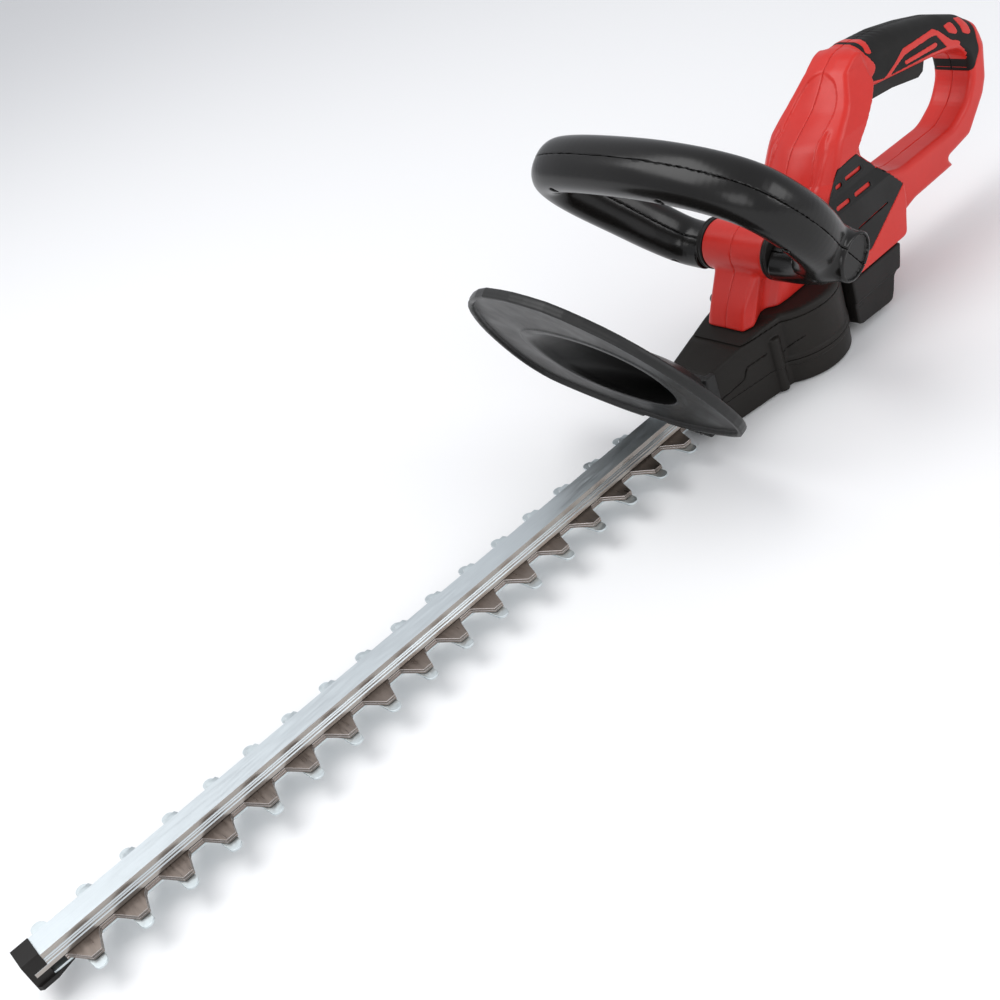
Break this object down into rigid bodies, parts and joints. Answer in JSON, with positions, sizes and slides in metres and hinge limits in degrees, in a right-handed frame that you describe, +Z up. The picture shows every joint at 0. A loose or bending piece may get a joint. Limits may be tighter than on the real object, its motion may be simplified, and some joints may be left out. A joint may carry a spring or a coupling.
{
  "type": "hedge trimmer",
  "caption": "Cordless hedge trimmer with a double-sided reciprocating blade, D-shaped rear grip, wrap-around front handle and hand guard",
  "frame": {"origin": "flat underside of the gearcase, on the crank axis", "axes": "+X along the blade to its tip, +Y to the operator's left, +Z up"},
  "size_m": [0.907, 0.2208, 0.2184],
  "materials": {
    "bar_aluminium": "extruded, satin",
    "black_plastic": "fine spark-eroded texture",
    "blade_steel": "ground, lightly tarnished",
    "bronze": "sintered bronze and brass",
    "copper": "lacquered copper",
    "drive_steel": "machined",
    "felt": "pressed felt",
    "gearcase_plastic": "glass-filled nylon with a matt, spark-eroded surface",
    "gloss_black": "smooth, lightly polished",
    "guard_plastic": "satin with a fine grain",
    "magnet": "ferrite",
    "panel_plastic": "satin",
    "red_plastic": "satin moulded nylon",
    "rubber_grip": "soft overmould with fine ribs",
    "screw_steel": "dark oxide",
    "spring_steel": "drawn wire",
    "zinc_steel": "bright zinc plate"
  },
  "bodies": {
    "housing": {"gearcase_lower": "gearcase_plastic", "gearcase_upper": "gearcase_plastic", "motor_pod": "black_plastic", "housing_left": "red_plastic", "housing_right": "red_plastic", "grip_left": "rubber_grip", "grip_right": "rubber_grip", "vent_panel_left": "panel_plastic", "vent_panel_right": "panel_plastic", "handle_front_shell": "gloss_black", "handle_rear_shell": "gloss_black", "handle_collars": "black_plastic", "handle_bolt": "screw_steel", "handle_nut": "screw_steel", "handle_screws": "screw_steel", "hand_guard": "guard_plastic", "guard_screws": "screw_steel", "guide_bar": "bar_aluminium", "comb": "zinc_steel", "bar_screws": "screw_steel", "blade_bushes": "bronze", "tip_cap": "black_plastic", "tip_screw": "screw_steel", "crank_bearings": "drive_steel", "motor_can": "zinc_steel", "motor_end_cap": "black_plastic", "motor_bearings": "bronze", "motor_magnets": "magnet", "brush_holders": "bronze", "pinion_bush": "bronze", "trigger_pin": "screw_steel", "trigger_spring": "spring_steel", "trigger_switch": "black_plastic", "terminal_block": "black_plastic", "battery_contacts": "copper", "switch_bar_springs": "spring_steel", "safety_switch": "black_plastic", "felt_wiper": "felt", "gearcase_screws": "screw_steel", "housing_screws": "screw_steel"},
    "upper_blade": {"upper_blade": "blade_steel"},
    "lower_blade": {"lower_blade": "blade_steel"},
    "crank": {"crank_gear": "drive_steel", "crank_shaft": "drive_steel", "crank_pins": "drive_steel"},
    "rotor": {"rotor_shaft": "drive_steel", "pinion": "bronze", "rotor_core": "copper", "commutator": "copper", "cooling_fan": "black_plastic"},
    "trigger": {"trigger": "black_plastic"},
    "switch_bar": {"switch_bar": "black_plastic"}
  },
  "joints": [
    {"name": "upper_blade_slide", "type": "slide", "parent": "housing", "child": "upper_blade", "axis": [1, 0, 0], "range_m": [-0.0075, 0.0075]},
    {"name": "lower_blade_slide", "type": "slide", "parent": "housing", "child": "lower_blade", "axis": [1, 0, 0], "range_m": [-0.0075, 0.0075]},
    {"name": "crank_spin", "type": "hinge", "parent": "housing", "child": "crank", "pos_m": [0, 0, 0.03], "axis": [0, 0, 1], "continuous": true},
    {"name": "rotor_spin", "type": "hinge", "parent": "housing", "child": "rotor", "pos_m": [-0.045, 0, 0.03], "axis": [0, 0, 1], "continuous": true},
    {"name": "trigger_pivot", "type": "hinge", "parent": "housing", "child": "trigger", "pos_m": [-0.121, 0, 0.148], "axis": [0, 1, 0], "range_deg": [0, 6], "stiffness_Nm_per_rad": 0.6, "springref_deg": -20.05, "deforming": ["trigger_spring"]},
    {"name": "switch_bar_slide", "type": "slide", "parent": "housing", "child": "switch_bar", "axis": [0.5878, 0, 0.809], "range_m": [0, 0.004], "stiffness_N_per_m": 400, "springref_m": -0.004, "deforming": ["switch_bar_springs"]}
  ],
  "couplings": [
    {"joint": "lower_blade_slide", "follows": "upper_blade_slide", "ratio": -1},
    {"joint": "rotor_spin", "follows": "crank_spin", "ratio": -5}
  ]
}
